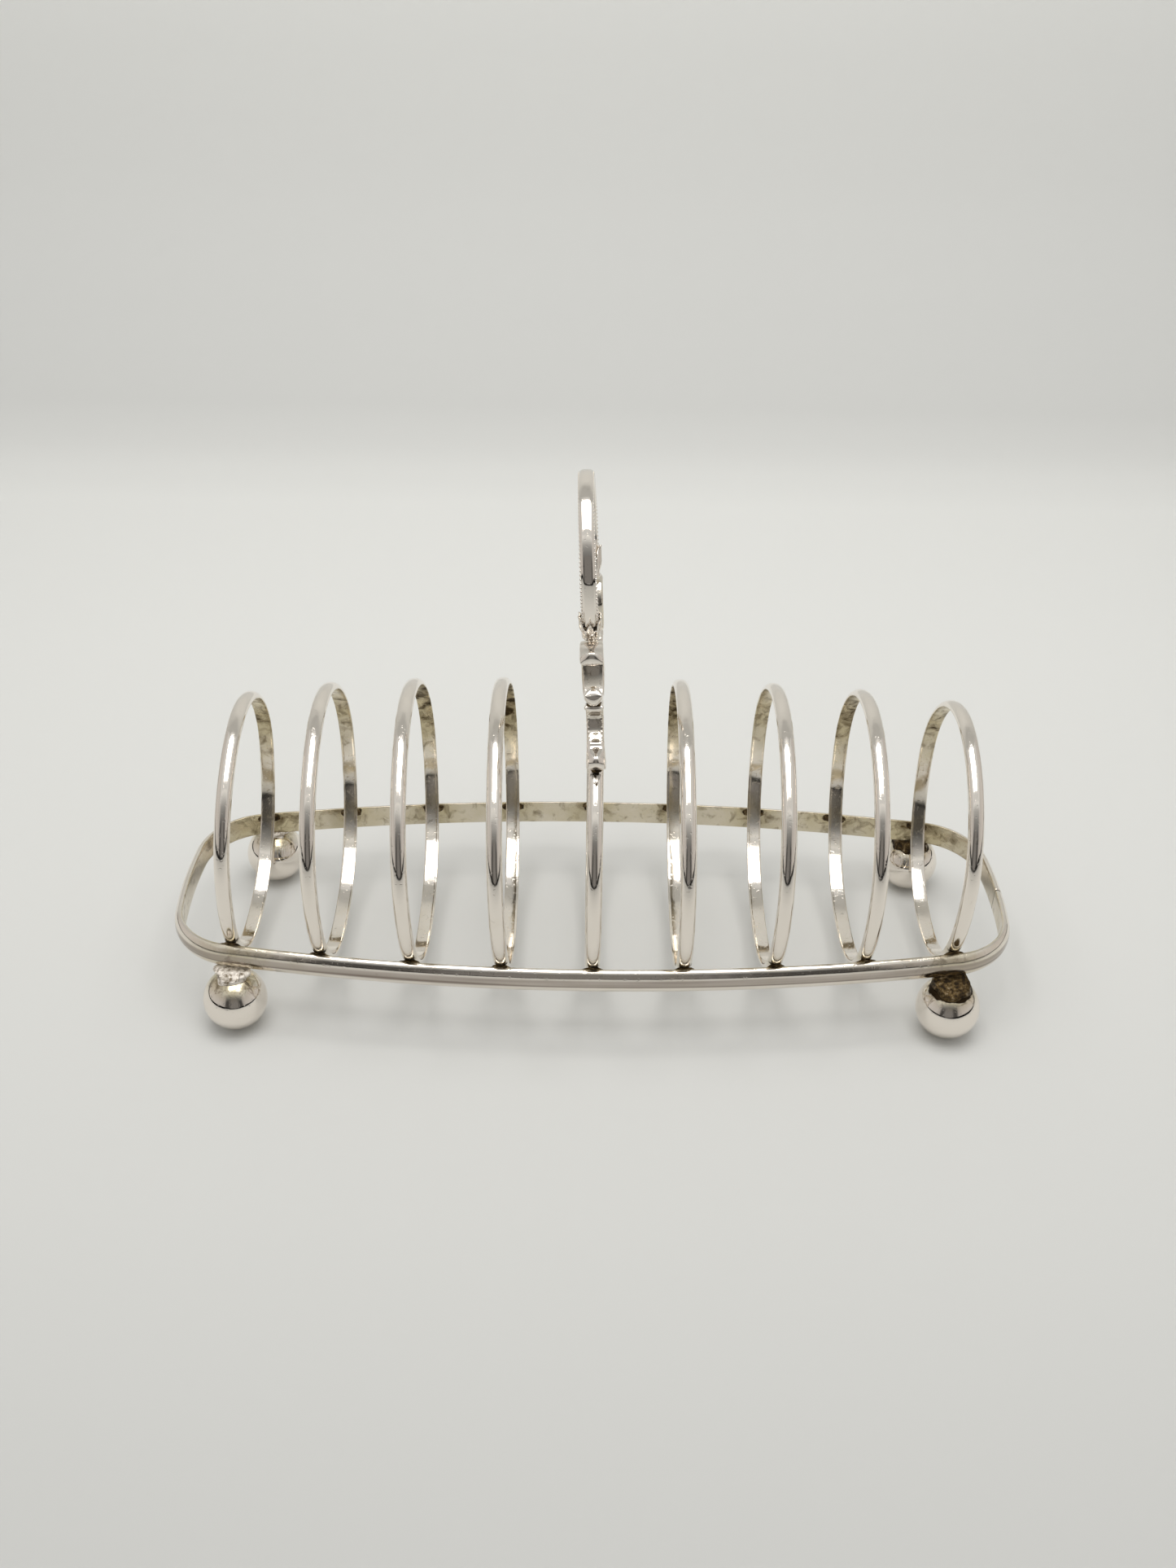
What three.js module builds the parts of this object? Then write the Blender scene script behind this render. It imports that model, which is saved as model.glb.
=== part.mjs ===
// Toast rack. Nine closed wire hoops stand across a bow-sided wire rail on four ball feet, and the
// middle hoop carries a cast loop handle on a pair of double scrolls. Everything is soldered rigid.
// Millimetres, +Z up, +X along the rack. The origin is at the middle of the footprint, on the surface
// that the feet stand on. The rack is symmetric from front to back, and from end to end apart from the
// small lean that each hoop and the handle have.

import * as THREE from 'three';

// ---- Driving dimensions ----

const solderGap = 0.3; // left between two pieces that are soldered together

// Hoops: half-round wire, flat side in
const hoopCount = 9;
const hoopPitch = 25;
const hoopWireWidth = 4.2; // along X
const hoopWireThickness = 2.0; // from the flat inner side to the crown
const hoopDipBelowRail = 10.8; // lowest point of the hoops, below the rail's underside
const hoopWidestAboveRail = 23.3; // where each hoop is widest from front to back, above the rail's top edge
const hoopCrownAboveRail = 61.2; // crown of the middle hoop, above the rail's top edge
const endHoopDrop = 3.4; // how much lower the end hoops' crowns are
const hoopLean = [3, 0, -1.5, -1.5, 0, -1, 0.5, 0, 0.5]; // degrees towards +X, as soldered by hand
const hoopUpperRoundness = 1.9; // exponent of the outline: 2 is an ellipse, more is squarer
const hoopLowerRoundness = 2.2;

// Rail: half-round strip bent into a ring, flat side in
const railHeight = 7.3;
const railThickness = 2.6;
const railBeyondEndHoop = 17.4; // inner side of the rail's ends, past the end hoops
const railHalfDepth = 38.9; // to the inner side, at the middle
const railSideRadius = 600;
const railEndRadius = 150;
const railCornerRadius = 18;
const stripEdgeShare = 0.2; // of a half-round strip's thickness, standing square before the rounding starts

// Feet: balls with a small worn flat, soldered under the rail near the end hoops
const ballRadius = 8.9;
const ballWornFlatRadius = 1.6;
const ballSeatRadius = 4.2; // flat under the solder collar
const ballFromRail = 3.2; // ball centre, outwards from the rail's inner side
const collarSkirtRadius = 6.4; // where the solder has run down over the ball
const collarNeckRadius = 3.6;
const collarHeight = 1.2; // over the ball's seat
const collarLipThickness = 0.5;
const collarFlare = 1.0;

// Handle: a round loop in two leaf cups, on upper scrolls, on lower scrolls that sit on the middle hoop
const loopRadius = 20.4; // middle of the loop's section
const loopWidth = 4.4; // along X
const loopThickness = 3.0;
const loopCornerRadius = 1.2;
const loopEndAngle = 27; // degrees below the loop's centre line
const leafCupLength = 5.0;
const leafCupMouthRadius = 2.8;
const leafCupWaistRadius = 2.07;
const leafCupWaistHeight = 2.0;
const leafCupFootRadius = 1.8;
const upperScrollWidth = 6.0;
const lowerScrollWidth = 4.7;
const scrollStrapThickness = 2.0;
const scrollWaistThickness = 1.8; // in the narrow part of the lower scroll
const knobReach = 7.9; // knob's centre, outwards from the foot of the leaf cup
const knobRadius = 2.3; // curled end that sits on the hoop
const voluteRadius = 2.1;
const lipRadius = 1.7;
const rollRadius = 1.35;
const scrollEdgeRadius = 0.5;
const handleLean = -3; // degrees towards +X, from standing square on the middle hoop
const cupSeatHeight = 31.7; // from the knob's centre up to the middle of the strap that carries the leaf cup

// ---- Sizes that follow ----

const lastHoop = (hoopCount - 1) / 2;
const endHoopX = lastHoop * hoopPitch;
const ballCentreHeight = Math.sqrt(ballRadius ** 2 - ballWornFlatRadius ** 2);
const ballSeatHeight = ballCentreHeight + Math.sqrt(ballRadius ** 2 - ballSeatRadius ** 2);
const railBottomHeight = ballSeatHeight + solderGap + collarHeight + solderGap;
const railTopHeight = railBottomHeight + railHeight;
const railMiddleHeight = railBottomHeight + railHeight / 2;
const railHalfLength = endHoopX + railBeyondEndHoop; // to the inner side
const hoopBottomHeight = railBottomHeight - hoopDipBelowRail;
const hoopWidestHeight = railTopHeight + hoopWidestAboveRail;
const hoopTopHeight = railTopHeight + hoopCrownAboveRail;
const hoopDepthBelow = hoopWidestHeight - hoopBottomHeight;
const strapHalf = scrollStrapThickness / 2;
const waistHalf = scrollWaistThickness / 2;

// The rail's inner outline in plan is four kinds of arc that meet smoothly: long sides, ends and corners.
const sideCentreY = railHalfDepth - railSideRadius;
const endCentreX = railHalfLength - railEndRadius;
const cornerCentre = circlesMeet(
  new THREE.Vector2(0, sideCentreY), railSideRadius - railCornerRadius,
  new THREE.Vector2(endCentreX, 0), railEndRadius - railCornerRadius,
);

function circlesMeet(centreA, radiusA, centreB, radiusB) {
  const between = centreB.clone().sub(centreA);
  const distance = between.length();
  const along = (radiusA ** 2 - radiusB ** 2 + distance ** 2) / (2 * distance);
  const across = Math.sqrt(radiusA ** 2 - along ** 2);
  const direction = between.normalize();
  const sideways = new THREE.Vector2(direction.y, -direction.x);
  return centreA.clone().addScaledVector(direction, along).addScaledVector(sideways, across);
}

// Half the rail's inner depth at a place along its side
function railInnerDepthAt(x) {
  return sideCentreY + Math.sqrt(railSideRadius ** 2 - x ** 2);
}

// ---- Outlines and sections ----

function railOutline() {
  const side = Math.atan2(cornerCentre.y - sideCentreY, cornerCentre.x);
  const end = Math.atan2(cornerCentre.y, cornerCentre.x - endCentreX);
  const { x, y } = cornerCentre;
  const outline = new THREE.CurvePath();
  const addArc = (centreX, centreY, radius, from, to) => {
    outline.add(new THREE.EllipseCurve(centreX, centreY, radius, radius, from, to));
  };
  addArc(endCentreX, 0, railEndRadius, 0, end);
  addArc(x, y, railCornerRadius, end, side);
  addArc(0, sideCentreY, railSideRadius, side, Math.PI - side);
  addArc(-x, y, railCornerRadius, Math.PI - side, Math.PI - end);
  addArc(-endCentreX, 0, railEndRadius, Math.PI - end, Math.PI + end);
  addArc(-x, -y, railCornerRadius, Math.PI + end, Math.PI + side);
  addArc(0, -sideCentreY, railSideRadius, Math.PI + side, 2 * Math.PI - side);
  addArc(x, -y, railCornerRadius, 2 * Math.PI - side, 2 * Math.PI - end);
  addArc(endCentreX, 0, railEndRadius, 2 * Math.PI - end, 2 * Math.PI);
  return outline;
}

// A hoop's crown line, drawn with its depth along the first axis and its height along the second.
// Each half is a superellipse, and the two halves meet where the hoop is widest.
class HoopOutline extends THREE.Curve {
  constructor(halfDepth, topHeight) {
    super();
    this.halfDepth = halfDepth;
    this.rise = topHeight - hoopWidestHeight;
  }

  getPoint(t, target = new THREE.Vector2()) {
    const across = Math.cos(2 * Math.PI * t);
    const up = Math.sin(2 * Math.PI * t);
    const power = 2 / (up > 0 ? hoopUpperRoundness : hoopLowerRoundness);
    const reach = up > 0 ? this.rise : hoopDepthBelow;
    return target.set(
      this.halfDepth * Math.sign(across) * Math.abs(across) ** power,
      hoopWidestHeight + reach * Math.sign(up) * Math.abs(up) ** power,
    );
  }
}

// The crown touches the rail's inner side at the rail's top edge, which sets each hoop's depth.
function hoopOutlineAt(x) {
  const below = (hoopWidestHeight - railTopHeight) / hoopDepthBelow;
  const share = (1 - below ** hoopLowerRoundness) ** (1 / hoopLowerRoundness);
  const halfDepth = (railInnerDepthAt(x) - solderGap) / share;
  const topHeight = hoopTopHeight - endHoopDrop * (x / endHoopX) ** 4;
  return new HoopOutline(halfDepth, topHeight);
}

// A half-round section: x is the distance out from the flat side, y is across the strip.
function halfRoundSection(width, thickness, flatOffset) {
  const edge = stripEdgeShare * thickness;
  const arc = new THREE.EllipseCurve(
    flatOffset + edge, 0, thickness - edge, width / 2, -Math.PI / 2, Math.PI / 2,
  );
  const points = arc.getPoints(4);
  points.unshift(new THREE.Vector2(flatOffset, -width / 2));
  points.push(new THREE.Vector2(flatOffset, width / 2));
  points.push(points[0].clone());
  return points;
}

// ---- Geometry builders ----

// A closed ring: a lathed ring whose sections are moved round a flat closed outline.
function ringAlong(outline, section, steps) {
  const ring = new THREE.LatheGeometry(section, steps);
  const position = ring.attributes.position;
  for (let step = 0; step <= steps; step++) {
    const share = (step % steps) / steps;
    const point = outline.getPoint(share);
    const tangent = outline.getTangent(share);
    section.forEach((place, index) => {
      position.setXYZ(
        step * section.length + index,
        point.x + tangent.y * place.x,
        point.y - tangent.x * place.x,
        place.y,
      );
    });
  }
  return ring;
}

// Turns what was drawn flat, depth along X and height along Y, to stand across the rack.
function standAcross(geometry) {
  return geometry.rotateX(Math.PI / 2).rotateZ(Math.PI / 2);
}

// A strap with round ends: its outline keeps a half-thickness from each point of a smooth line.
function strapShape(points, halfThicknesses, divisions) {
  const line = new THREE.SplineCurve(points);
  const swell = new THREE.SplineCurve(halfThicknesses.map((half) => new THREE.Vector2(half, 0)));
  const left = [];
  const right = [];
  for (let i = 0; i <= divisions; i++) {
    const t = i / divisions;
    const place = line.getPoint(t);
    const tangent = line.getTangent(t);
    const half = swell.getPoint(t).x;
    left.push(new THREE.Vector2(place.x - tangent.y * half, place.y + tangent.x * half));
    right.push(new THREE.Vector2(place.x + tangent.y * half, place.y - tangent.x * half));
  }
  const cap = (t, sign) => {
    const place = line.getPoint(t);
    const tangent = line.getTangent(t);
    const start = Math.atan2(sign * tangent.y, sign * tangent.x);
    const half = swell.getPoint(t).x;
    return [60, 20, -20, -60].map((degrees) => {
      const angle = start + THREE.MathUtils.degToRad(degrees);
      return new THREE.Vector2(place.x + half * Math.cos(angle), place.y + half * Math.sin(angle));
    });
  };
  return new THREE.Shape([...left, ...cap(1, 1), ...right.reverse(), ...cap(0, -1)]);
}

function extrudeAcross(shape, width) {
  const geometry = new THREE.ExtrudeGeometry(shape, {
    depth: width - 2 * scrollEdgeRadius,
    bevelEnabled: true,
    bevelThickness: scrollEdgeRadius,
    bevelSize: scrollEdgeRadius,
    bevelOffset: -scrollEdgeRadius,
    bevelSegments: 2,
    curveSegments: 4,
  });
  geometry.translate(0, 0, scrollEdgeRadius - width / 2);
  return standAcross(geometry);
}

// ---- Sub-parts ----

const toastRack = new THREE.Group();
toastRack.name = 'toast_rack';

const silver = { color: 0xd9d6cf, roughness: 0.18, metalness: 1 };
const tarnishedSilver = { color: 0xc4bda9, roughness: 0.35, metalness: 1 };
const solder = { color: 0x6f6757, roughness: 0.6, metalness: 0.8 };

function addPiece(name, geometry, finish, parent = toastRack) {
  const mesh = new THREE.Mesh(geometry, new THREE.MeshStandardMaterial(finish));
  mesh.name = name;
  parent.add(mesh);
  return mesh;
}

// A group that leans along the rack from a pivot; its own origin is the pivot.
function leaningGroup(x, height, lean, parent = toastRack) {
  const group = new THREE.Group();
  group.position.set(x, 0, height);
  group.rotation.y = THREE.MathUtils.degToRad(lean);
  parent.add(group);
  return group;
}

function addRail() {
  const section = halfRoundSection(railHeight, railThickness, 0);
  const rail = addPiece('rail', ringAlong(railOutline(), section, 96), tarnishedSilver);
  rail.position.z = railMiddleHeight;
}

function addHoops() {
  for (let i = 0; i < hoopCount; i++) {
    const x = (i - lastHoop) * hoopPitch;
    const section = halfRoundSection(hoopWireWidth, hoopWireThickness, -hoopWireThickness);
    const geometry = standAcross(ringAlong(hoopOutlineAt(x), section, 44));
    const hoop = addPiece(`hoop_${i + 1}`, geometry, silver, leaningGroup(x, railTopHeight, hoopLean[i]));
    hoop.position.z = -railTopHeight;
  }
}

function addFeet() {
  const wornAngle = Math.asin(ballWornFlatRadius / ballRadius);
  const seatAngle = Math.asin(ballSeatRadius / ballRadius);
  const ballArc = new THREE.EllipseCurve(
    0, ballCentreHeight, ballRadius, ballRadius, wornAngle - Math.PI / 2, Math.PI / 2 - seatAngle,
  );
  const ballProfile = [
    new THREE.Vector2(0, 0),
    ...ballArc.getPoints(10),
    new THREE.Vector2(0, ballSeatHeight),
  ];

  const collarRadius = ballRadius + solderGap;
  const skirtAngle = Math.asin(collarSkirtRadius / collarRadius);
  const innerAngle = Math.asin(ballSeatRadius / collarRadius);
  const collarArc = new THREE.EllipseCurve(
    0, ballCentreHeight, collarRadius, collarRadius, Math.PI / 2 - innerAngle, Math.PI / 2 - skirtAngle, true,
  );
  const collarTop = railBottomHeight - solderGap;
  const lipHeight = ballCentreHeight + collarRadius * Math.cos(skirtAngle) + collarLipThickness;
  const flare = new THREE.QuadraticBezierCurve(
    new THREE.Vector2(collarSkirtRadius, lipHeight),
    new THREE.Vector2(collarNeckRadius + collarFlare, (lipHeight + collarTop) / 2),
    new THREE.Vector2(collarNeckRadius, collarTop),
  );
  const collarProfile = [
    new THREE.Vector2(0, ballSeatHeight + solderGap),
    ...collarArc.getPoints(3),
    ...flare.getPoints(3),
    new THREE.Vector2(0, collarTop),
  ];

  const footY = railInnerDepthAt(endHoopX) + ballFromRail;
  for (const [side, y] of [['front', -footY], ['back', footY]]) {
    for (const [end, x] of [['left', -endHoopX], ['right', endHoopX]]) {
      const ball = new THREE.LatheGeometry(ballProfile, 20).rotateX(Math.PI / 2);
      const collar = new THREE.LatheGeometry(collarProfile, 16).rotateX(Math.PI / 2);
      addPiece(`ball_foot_${side}_${end}`, ball, silver).position.set(x, y, 0);
      addPiece(`solder_collar_${side}_${end}`, collar, solder).position.set(x, y, 0);
    }
  }
}

function addHandle() {
  const middleHoop = hoopOutlineAt(0);
  const endAngle = THREE.MathUtils.degToRad(loopEndAngle);

  // The front half is worked out with depth growing away from the middle, then turned round for the back.
  const loopEndDepth = loopRadius * Math.cos(endAngle);
  const cupReach = leafCupLength + solderGap;
  const cupFootDepth = loopEndDepth - cupReach * Math.sin(endAngle);
  const knobDepth = cupFootDepth + knobReach;
  const knobHeight = restOnHoop(middleHoop, knobDepth, knobRadius + solderGap);
  const at = (depth, height) => new THREE.Vector2(cupFootDepth + depth, knobHeight + height);

  const lowerShape = strapShape(
    [at(knobReach, 0), at(4.6, 2.5), at(1.5, 5.5), at(0.1, 9.1), at(1.2, 12.4), at(3.6, 13.7)],
    [knobRadius, strapHalf, waistHalf, waistHalf, strapHalf, rollRadius],
    24,
  );
  const upperShape = strapShape(
    [at(5.5, 18.2), at(2.5, 16.3), at(-0.7, 18.9), at(-2.6, 22.8), at(-2.4, 27.0), at(-0.1, 30.0),
      at(3.1, 30.7), at(5.7, 29.6)],
    [voluteRadius, strapHalf, strapHalf, strapHalf, strapHalf, strapHalf, strapHalf, lipRadius],
    30,
  );
  const cupFootHeight = knobHeight + cupSeatHeight + strapHalf;
  const loopCentreHeight = cupFootHeight + cupReach * Math.cos(endAngle) + loopRadius * Math.sin(endAngle);

  const cupProfile = [
    new THREE.Vector2(0, 0),
    new THREE.Vector2(leafCupFootRadius, 0),
    new THREE.Vector2(leafCupWaistRadius, leafCupWaistHeight),
    new THREE.Vector2(leafCupMouthRadius, leafCupLength),
    new THREE.Vector2(0, leafCupLength),
  ];

  const middleLean = hoopLean[lastHoop] + handleLean;
  const handle = leaningGroup(0, knobHeight, middleLean);
  for (const [side, turn] of [['front', Math.PI], ['back', 0]]) {
    const half = new THREE.Group();
    half.rotation.z = turn;
    half.position.z = -knobHeight;
    handle.add(half);
    const cup = new THREE.LatheGeometry(cupProfile, 16).rotateX(Math.PI / 2 - endAngle);
    cup.translate(0, cupFootDepth, cupFootHeight);
    addPiece(`handle_lower_scroll_${side}`, extrudeAcross(lowerShape, lowerScrollWidth), silver, half);
    addPiece(`handle_upper_scroll_${side}`, extrudeAcross(upperShape, upperScrollWidth), silver, half);
    addPiece(`handle_leaf_cup_${side}`, cup, silver, half);
  }

  const loopLine = new THREE.CatmullRomCurve3(
    new THREE.EllipseCurve(0, 0, loopRadius, loopRadius, -endAngle, Math.PI + endAngle)
      .getPoints(36)
      .map((point) => new THREE.Vector3(0, point.x, point.y)),
  );
  const loop = new THREE.ExtrudeGeometry(roundedSection(loopWidth, loopThickness, loopCornerRadius), {
    steps: 36,
    extrudePath: loopLine,
    curveSegments: 1,
  });
  addPiece('handle_loop', loop, silver, handle).position.z = loopCentreHeight - knobHeight;
}

// Height at which a disc of the given radius, centred this far from the middle, rests on the hoop
function restOnHoop(outline, depth, radius) {
  const share = depth / outline.halfDepth;
  const rise = outline.rise * (1 - share ** hoopUpperRoundness) ** (1 / hoopUpperRoundness);
  const slope = (outline.rise / outline.halfDepth)
    * (share / (rise / outline.rise)) ** (hoopUpperRoundness - 1);
  return hoopWidestHeight + rise + radius * Math.sqrt(1 + slope ** 2);
}

function roundedSection(width, thickness, radius) {
  const x = width / 2 - radius;
  const y = thickness / 2 - radius;
  return new THREE.Shape()
    .absarc(x, y, radius, 0, Math.PI / 2)
    .absarc(-x, y, radius, Math.PI / 2, Math.PI)
    .absarc(-x, -y, radius, Math.PI, 1.5 * Math.PI)
    .absarc(x, -y, radius, 1.5 * Math.PI, 2 * Math.PI);
}

addRail();
addHoops();
addFeet();
addHandle();

export default toastRack;
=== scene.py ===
"""A polished silver toast rack on ball feet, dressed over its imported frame."""

import math

import bmesh
import bpy
from mathutils import Matrix, Vector, noise


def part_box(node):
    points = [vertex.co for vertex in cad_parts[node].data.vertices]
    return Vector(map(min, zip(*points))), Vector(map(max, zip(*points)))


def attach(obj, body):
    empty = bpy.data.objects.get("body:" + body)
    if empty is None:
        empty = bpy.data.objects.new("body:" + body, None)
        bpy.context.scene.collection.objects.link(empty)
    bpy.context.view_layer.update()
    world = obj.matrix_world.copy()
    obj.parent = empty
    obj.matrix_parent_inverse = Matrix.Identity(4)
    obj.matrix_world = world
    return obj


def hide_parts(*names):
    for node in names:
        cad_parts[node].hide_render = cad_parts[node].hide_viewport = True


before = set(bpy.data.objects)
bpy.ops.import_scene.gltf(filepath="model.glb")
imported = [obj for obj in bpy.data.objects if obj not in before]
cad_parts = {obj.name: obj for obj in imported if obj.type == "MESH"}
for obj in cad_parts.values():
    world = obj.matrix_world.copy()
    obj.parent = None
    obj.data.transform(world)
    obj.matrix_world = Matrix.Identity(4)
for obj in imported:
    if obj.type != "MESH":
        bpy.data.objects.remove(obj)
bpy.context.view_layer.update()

bl_info = {
    "name": "Silver Toast Rack",
    "version": (1, 0, 0),
    "blender": (4, 5, 0),
    "location": "3D View > Sidebar > Toast Rack",
    "description": "Builds the wire hoops, rail, ball feet, cast handle and stage of a silver toast rack",
    "category": "Object",
}

HOOP_NODES = sorted(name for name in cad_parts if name.startswith("hoop_"))
SIDES = (("front", -1), ("back", 1))
ENDS = (("left", -1), ("right", 1))


def mm(length):
    """Millimetres as Blender's metres."""
    return length / 1000


def per_mm(size):
    """The scale that gives a texture on Object coordinates features of this many millimetres."""
    return 1000 / size


def linear(hex_colour):
    """An sRGB hex colour as linear red, green, blue and alpha."""
    channels = [int(hex_colour[i : i + 2], 16) / 255 for i in (1, 3, 5)]
    return tuple(c / 12.92 if c <= 0.04045 else ((c + 0.055) / 1.055) ** 2.4 for c in channels) + (1.0,)


def grey(value):
    """A neutral grey, given as linear light."""
    return (value, value, value * 0.975, 1.0)


def warm(value):
    """A warm grey, given as linear light."""
    return (value, value * 0.955, value * 0.91, 1.0)


RAIL_LOW, RAIL_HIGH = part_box("rail")
WORN_FLAT = mm(1.6)  # radius of the worn flat under each ball


# ---- Sizes and colours that a user would change ----


def length_property(name, description, default):
    return bpy.props.FloatProperty(
        name=name, description=description, default=mm(default), unit="LENGTH", precision=5
    )


def colour_property(name, description, default):
    return bpy.props.FloatVectorProperty(
        name=name, description=description, default=linear(default), size=4, subtype="COLOR", min=0, max=1
    )


class HoopSizes(bpy.types.PropertyGroup):
    wire_width: length_property("Wire width", "Width of the half-round wire, along the rack", 4.2)
    wire_thickness: length_property("Wire thickness", "From the flat inner side to the crown", 2.0)
    pitch: length_property("Pitch", "Distance between neighbouring hoops", 25)
    dip_below_rail: length_property("Dip below rail", "From the rail to a hoop's lowest point", 10.8)
    widest_above_rail: length_property("Widest above rail", "From the rail's top to the widest place", 23.3)
    crown_above_rail: length_property("Crown above rail", "Top of the middle hoop above the rail's top", 61.2)
    end_drop: length_property("End hoops' drop", "How much lower the end hoops' crowns are", 3.4)
    gap: length_property("Gap to rail", "Between a hoop and the rail's inner side", 0.3)
    upper_roundness: bpy.props.FloatProperty(
        name="Upper roundness", description="Exponent of the outline above the widest place", default=1.9
    )
    lower_roundness: bpy.props.FloatProperty(
        name="Lower roundness", description="Exponent of the outline below the widest place", default=2.2
    )
    lean: bpy.props.FloatVectorProperty(
        name="Lean",
        description="How far each hoop leans towards the right, as soldered by hand",
        size=9,
        subtype="NONE",
        default=tuple(math.radians(a) for a in (3, 0, -1.5, -1.5, 0, -1, 0.5, 0, 0.5)),
    )
    inner_tarnish: bpy.props.FloatVectorProperty(
        name="Inner tarnish",
        description="How brown the upper part of each hoop's flat inner side has gone",
        size=9,
        subtype="NONE",
        default=(0.8, 0.6, 1.0, 1.0, 0.7, 1.0, 0.6, 0.8, 0.8),
    )


class RailSizes(bpy.types.PropertyGroup):
    thickness: length_property("Thickness", "From the flat inner side to the crown", 2.6)
    side_radius: length_property("Side radius", "Bow of the long sides", 600)
    end_radius: length_property("End radius", "Bow of the ends", 150)
    corner_radius: length_property("Corner radius", "Radius of the corners, at the inner side", 18)
    seam_depth: length_property("Seam depth", "Depth of the notch where the strip's ends are joined", 0.45)


class FootSizes(bpy.types.PropertyGroup):
    ball_radius: length_property("Ball radius", "Radius of each foot", 8.9)
    skirt_radius: length_property("Solder skirt", "Radius of the solder on a right-hand ball", 5.4)


class HandleSizes(bpy.types.PropertyGroup):
    loop_radius: length_property("Loop radius", "To the middle of the loop's section", 20.4)
    loop_width: length_property("Loop width", "Along the rack", 4.4)
    loop_thickness: length_property("Loop thickness", "From inside to outside", 3.0)
    bead_pitch: length_property("Bead pitch", "Spacing of the beads along the loop's edges", 1.05)
    bead_radius: length_property("Bead radius", "Radius of one bead", 0.40)
    upper_width: length_property("Upper scroll width", "Along the rack", 6.0)
    lower_width: length_property("Lower scroll width", "Along the rack", 4.7)
    cup_height: length_property("Leaf cup height", "From its foot to the tips of its side leaves", 8.6)
    end_angle: bpy.props.FloatProperty(
        name="Loop end angle",
        description="How far below its centre line the loop ends",
        subtype="ANGLE",
        default=math.radians(27),
    )
    lean: bpy.props.FloatProperty(
        name="Lean", description="Lean of the handle to the right", subtype="ANGLE", default=math.radians(-3)
    )


class RackColours(bpy.types.PropertyGroup):
    silver: colour_property("Silver", "Clean polished silver plate", "#EFE8DF")
    patina: colour_property("Patina", "Thin warm film on the silver", "#CFC3A3")
    tarnish: colour_property("Tarnish", "Brown specks in the film", "#5C4A2C")
    stain: colour_property("Stain", "Dark flux stain by the solder", "#2E2418")
    solder: colour_property("Solder", "Aged solder", "#8A7C66")
    # Painted reflection: this grey is mixed into the band along the rail's outside and stands in for the
    # darker room mirrored there.
    painted_reflection_grey: colour_property("Painted reflection grey", "Grey metal where the plate has worn thin", "#8B8078")


# ---- Materials ----


def add_node(tree, kind, inputs=None, ramp=None, **settings):
    """Adds a node; an input's value is either a number or colour, or the socket that feeds it."""
    node = tree.nodes.new(kind)
    for name, value in settings.items():
        setattr(node, name, value)
    for key, value in (inputs or {}).items():
        if isinstance(value, bpy.types.NodeSocket):
            tree.links.new(value, node.inputs[key])
        else:
            node.inputs[key].default_value = value
    if ramp:
        elements = node.color_ramp.elements
        while len(elements) < len(ramp):
            elements.new(0.5)
        for element, (position, colour) in zip(elements, ramp):
            element.position = position
            element.color = colour
    return node


def new_material(name):
    """A material with an empty node tree."""
    material = bpy.data.materials.new(name)
    material.use_nodes = True
    material.node_tree.nodes.clear()
    return material, material.node_tree


def mark_of(tree, name):
    """How strong one of the marks on a piece's vertices is."""
    return add_node(tree, "ShaderNodeAttribute", attribute_name=name).outputs["Fac"]


def multiply_add(tree, value, factor, offset):
    """The value times the factor, plus the offset."""
    inputs = {0: value, 1: factor, 2: offset}
    return add_node(tree, "ShaderNodeMath", inputs, operation="MULTIPLY_ADD").outputs[0]


def noise_of(tree, coords, size, **inputs):
    """Noise with features of this many millimetres."""
    inputs = {"Vector": coords, "Scale": per_mm(size), **inputs}
    return add_node(tree, "ShaderNodeTexNoise", inputs).outputs["Fac"]


def map_range(tree, value, low, high, **settings):
    inputs = {"Value": value, "From Min": low, "From Max": high}
    return add_node(tree, "ShaderNodeMapRange", inputs, **settings).outputs["Result"]


def mix_colours(tree, share, first, second):
    """Goes from the first colour to the second as the share rises."""
    return add_node(tree, "ShaderNodeMix", {0: share, 6: first, 7: second}, data_type="RGBA").outputs[2]


def bump_of(tree, height, strength, depth, over=None):
    """Bumps this many millimetres deep, laid over any coarser ones."""
    inputs = {"Height": height, "Strength": strength, "Distance": mm(depth)}
    if over is not None:
        inputs["Normal"] = over
    return add_node(tree, "ShaderNodeBump", inputs).outputs["Normal"]


def finish_material(tree, colour, metallic, roughness, normal):
    inputs = {"Base Color": colour, "Metallic": metallic, "Roughness": roughness, "Normal": normal}
    shader = add_node(tree, "ShaderNodeBsdfPrincipled", inputs)
    add_node(tree, "ShaderNodeOutputMaterial", {"Surface": shader.outputs["BSDF"]})


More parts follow.
